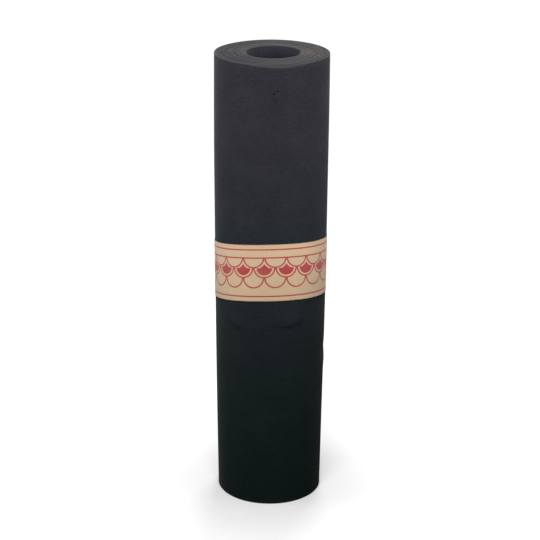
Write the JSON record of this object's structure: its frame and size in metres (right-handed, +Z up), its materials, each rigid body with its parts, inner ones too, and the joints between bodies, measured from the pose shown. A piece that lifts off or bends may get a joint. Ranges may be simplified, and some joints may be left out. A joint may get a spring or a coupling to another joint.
{
  "type": "roll of roofing felt",
  "caption": "Coreless roll of black asphalt roofing felt standing on end, with an open bore through it and a kraft paper band glued around its middle to keep it from unwinding.",
  "frame": {"origin": "on the floor, at the centre of the roll's lower end", "axes": "+Z up along the roll's bore, -Y towards the front of the band, +X to the right seen from the front"},
  "size_m": [0.2166, 0.2166, 0.9166],
  "materials": {
    "asphalt_felt": "matte asphalt-saturated felt, charcoal black",
    "kraft_paper": "matte brown kraft paper with red print"
  },
  "bodies": {
    "root": {"felt_roll": "asphalt_felt", "paper_band": "kraft_paper"}
  },
  "joints": []
}
